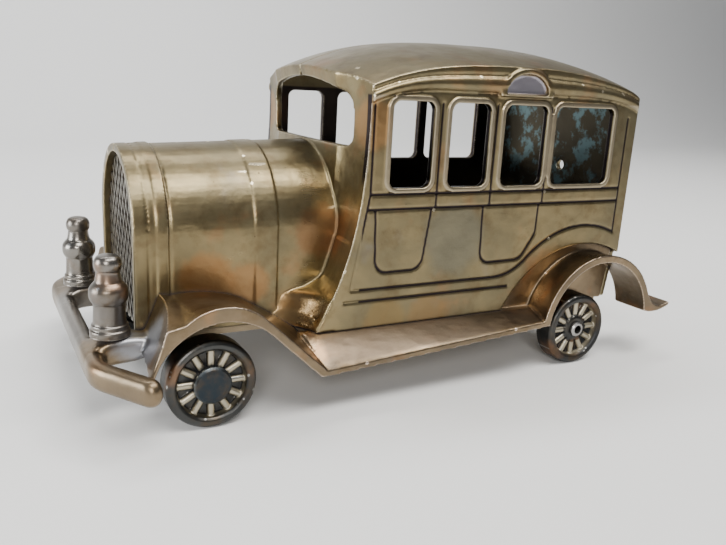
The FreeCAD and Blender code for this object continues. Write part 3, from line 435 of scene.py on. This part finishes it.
def brass(name, clean, dull, worn, hollow_patina_and_shade, rough=0.30, patches=(), masks=()):
    """Old cast brass: dull in the open, worn bright on the ridges, dark with patina in the furrows, and with
    painted shade in corners and grooves.
    """
    n = Nodes(name)
    broad = n.noise(34.0, 4.0)
    fine = n.noise(2.2, 5.0, 0.6)
    mottle = n.noise(9.0, 5.0, 0.62)
    colour = n.mix(n.span(broad, 0.36, 0.64), clean, dull)
    colour = n.mix(n.span(mottle, 0.45, 0.75, 0.0, 0.55), colour, (0.115, 0.075, 0.035))
    colour = n.mix(n.span(n.noise(15.0, 3.0), 0.56, 0.76, 0.0, 0.40), colour, (0.34, 0.17, 0.075))
    colour = n.mix(n.span(n.noise(21.0, 3.0), 0.60, 0.80, 0.0, 0.30), colour, (0.21, 0.22, 0.25))
    for centre, radius, tint, strength in patches:
        for side in (1, -1):
            place = (centre[0], side * centre[1], centre[2])
            colour = n.mix(n.math("MULTIPLY", patch(n, place, radius), strength), colour, tint)
    for mask, tint, strength in masks:
        colour = n.mix(n.math("MULTIPLY", mask(n), strength), colour, tint)
    ridge = n.ridge()
    bright = n.span(n.math("ADD", ridge, n.math("MULTIPLY", fine, 0.02)), 0.525, 0.60)
    colour = n.mix(n.math("MULTIPLY", bright, 0.85), colour, worn)
    # Painted shade: the colour darkens deep in corners and grooves, and dark patina fills the furrows.
    shade = n.math("ADD", n.shelter(2.2), n.math("MULTIPLY", n.math("SUBTRACT", fine, 0.5), 0.25))
    dark = n.math("MAXIMUM", n.span(shade, 0.22, 0.58), n.span(ridge, 0.41, 0.475, 1.0, 0.0))
    colour = n.mix(n.math("MULTIPLY", dark, 0.94), colour, hollow_patina_and_shade)
    speck = n.span(n.cells(3.4), 0.02, 0.10, 1.0, 0.0)
    pit = n.math("MULTIPLY", speck, n.span(n.noise(7.0, 1.0), 0.60, 0.66))
    colour = n.mix(n.math("MULTIPLY", pit, 0.8), colour, (0.04, 0.034, 0.025))
    n.put(n.shader.inputs["Base Color"], colour)
    n.put(n.shader.inputs["Metallic"], n.span(dark, 0.0, 1.0, 1.0, 0.45))
    scratch = n.noise(1.1, 4.0, 0.7, (0.12, 1.0, 1.0))
    gloss = n.span(broad, 0.3, 0.7, rough - 0.05, rough + 0.09)
    gloss = n.math("ADD", gloss, n.math("MULTIPLY", scratch, 0.10))
    gloss = n.math("ADD", gloss, n.math("MULTIPLY", dark, 0.35))
    n.put(n.shader.inputs["Roughness"], n.math("SUBTRACT", gloss, n.math("MULTIPLY", bright, 0.06)))
    height = n.math("ADD", n.noise(14.0, 2.0), n.math("MULTIPLY", n.noise(3.2, 4.0), 0.22))
    height = n.math("ADD", height, n.math("MULTIPLY", scratch, 0.03))
    height = n.math("SUBTRACT", height, n.math("MULTIPLY", pit, 0.25))
    n.bump(height, 0.42)
    return n.material


def spoke_crests(x):
    """The raised parts of a wheel's spokes, about an axle at x."""

    def mask(n):
        off = n.math("ABSOLUTE", n.part(1))
        flat = n.vector("MULTIPLY", n.place, (1, 0, 1))
        radius = n.distance(flat, (x, 0, 16.0))
        ring = n.math("MULTIPLY", n.span(radius, 6.3, 7.1), n.span(radius, 11.9, 12.5, 1.0, 0.0))
        return n.math("MULTIPLY", ring, n.span(off, 54.15, 54.7))

    return mask


def paint(piece, material):
    piece.data.materials.clear()
    piece.data.materials.append(material)


# ---------------------------------------------------------------- the bank

make_camera()
make_floor()
make_lights()

WARM_PATCHES = (
    ((86.0, 31.0, 46.0), 10.0, (0.40, 0.20, 0.075), 0.55),
    ((70.0, 31.0, 43.0), 8.0, (0.36, 0.18, 0.07), 0.55),
    ((54.0, 40.0, 34.0), 10.0, (0.30, 0.17, 0.07), 0.6),
    ((41.0, 32.0, 62.0), 10.0, (0.25, 0.13, 0.06), 0.7),
    ((30.0, 48.0, 104.0), 9.0, (0.40, 0.22, 0.09), 0.7),
    ((0.0, 50.0, 29.0), 9.0, (0.27, 0.16, 0.065), 0.5),
    ((20.0, 50.0, 29.0), 9.0, (0.26, 0.17, 0.065), 0.5),
    ((-10.0, 50.0, 60.0), 14.0, (0.17, 0.16, 0.115), 0.7),
)
# Painted reflection: a pale blue-grey blotch on the fenders' fronts.
FENDER_FRONT_REFLECTION = ((112.0, 44.0, 30.0), 10.0, (0.34, 0.36, 0.40), 0.75)
BAR_WEAR = ((126.0, 0.0, 22.0), 30.0, (0.25, 0.235, 0.215), 0.7)
# Near-black: dark patina and painted shade in the hollows, and the colour of the cut lines.
DARK = (0.018, 0.013, 0.018)

body_brass = brass(
    "body_brass",
    (0.255, 0.20, 0.105),
    (0.185, 0.155, 0.09),
    (0.80, 0.70, 0.50),
    DARK,
    0.27,
    WARM_PATCHES,
    (
        # Painted shade: the cabin's inner walls are darkened to near-black.
        (cavity, (0.050, 0.045, 0.035), 0.90),
        (verdigris, (0.15, 0.24, 0.26), 0.75),
        (window_rims, (0.40, 0.34, 0.25), 0.55),
        (tympanum, (0.42, 0.40, 0.48), 0.75),
        # Dark patina in the cut lines and painted shade on the window jambs.
        (line_patina_and_jamb_shade, DARK, 0.95),
    ),
)
fender_brass = brass(
    "fender_brass",
    (0.25, 0.185, 0.115),
    (0.17, 0.13, 0.085),
    (0.86, 0.70, 0.56),
    (0.03, 0.022, 0.020),
    0.27,
    (FENDER_FRONT_REFLECTION, BAR_WEAR),
    # Painted shade on the running boards' tops.
    ((board_top_shade, (0.085, 0.065, 0.048), 0.75),),
)
post_metal = brass("post_metal", (0.22, 0.205, 0.185), (0.16, 0.145, 0.13), (0.62, 0.60, 0.58), DARK, 0.24)
# Dark colour for the grille's hollows: dark patina and painted shade.
furrow = (0.05, 0.042, 0.035)
grille_brass = brass("grille_brass", (0.25, 0.235, 0.20), (0.17, 0.16, 0.14), (0.50, 0.47, 0.40), furrow, 0.36)
underside = brass("underside_brass", (0.14, 0.105, 0.06), (0.09, 0.07, 0.045), (0.34, 0.27, 0.18), DARK, 0.42)
steel = brass("aged_steel", (0.16, 0.155, 0.15), (0.10, 0.095, 0.09), (0.44, 0.43, 0.42), DARK, 0.34)
# Near-black for the wheels' and hub caps' hollows: dark patina and painted shade.
black_patina_and_shade = (0.010, 0.011, 0.014)
cap_dark = brass("cap_dark", (0.028, 0.036, 0.044), (0.045, 0.050, 0.052), (0.15, 0.17, 0.18), black_patina_and_shade, 0.34)
wheel_metal = {}
for end, x in (("front", 91.5), ("rear", -77.2)):
    wheel_metal[end] = brass(
        f"{end}_wheel_metal",
        (0.065, 0.066, 0.064),
        (0.040, 0.041, 0.042),
        (0.36, 0.36, 0.34),
        black_patina_and_shade,
        0.34,
        (),
        ((spoke_crests(x), (0.50, 0.45, 0.34), 0.85),),
    )

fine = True
voxel = 0.00048 if fine else 0.0009
small = 0.00026 if fine else 0.0006
feet = []
for sign in (1, -1):
    feet += [((118.0, sign * y, 24.0), reach) for y, reach in ((62.0, 13.0), (50.0, 15.0), (34.0, 12.0))]

for side, sign in (("left", 1), ("right", -1)):
    node = f"body_{side}_half"
    low_corner = [((51.0, sign * 49.0, 32.0), 11.0)]
    half = cast(
        f"casting_{side}", [node], "chassis", "body_brass", voxel, 2, 190000, low_corner, 24,
        lambda work: cowl_fill(work, sign),
    )
    paint(half, body_brass)
fenders = ["fender_left", "fender_right", "front_bumper"]
gear = cast("fender_casting", fenders, "chassis", "fender_brass", voxel, 3, 190000, feet, 30)
paint(gear, fender_brass)
for end in ("front", "rear"):
    for side in ("left", "right"):
        name = f"{end}_wheel_{side}"
        wheel = cast(f"cast_{name}", [name], f"wheel_{end}_{side}", "wheel_brass", small, 3, 60000)
        paint(wheel, wheel_metal[end])

# Profiles of the turned pieces: radius and height.
POST = (
    (0.0, -5.8), (2.2, -5.8), (2.3, -0.2), (6.4, 0.0), (6.75, 0.7), (6.75, 2.2), (6.2, 2.9), (6.15, 4.1),
    (5.6, 4.9), (5.4, 8.0), (5.3, 11.3), (5.7, 12.1), (6.35, 13.5), (6.55, 15.4), (6.35, 17.0), (5.5, 18.4),
    (4.6, 19.4), (4.15, 21.2), (3.95, 22.9), (4.35, 23.6), (4.65, 25.0), (4.5, 26.5), (3.7, 27.9), (2.2, 28.55),
    (0.0, 28.68),
)
for side, sign in (("left", 1), ("right", -1)):
    foot = (120.7, sign * 34.1, 30.0)
    post = lathe(f"post_{side}", POST, foot, (0, 0, 1), "chassis", "post_metal", f"lamp_post_{side}")
    paint(post, post_metal)

REST = {
    "grille_brass": ("radiator_grille",),
    "underside": ("chassis_pan", "coin_trap_door"),
    "steel": ("front_axle", "rear_axle", "trap_pivot_screw", "trap_lock_screw", "tie_screws", "pan_screws"),
}
rest_metal = {"grille_brass": grille_brass, "underside": underside, "steel": steel}
for metal, names in REST.items():
    for name in names:
        paint(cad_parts[name], rest_metal[metal])
for side in ("left", "right"):
    paint(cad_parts[f"hub_cap_{side}"], cap_dark)
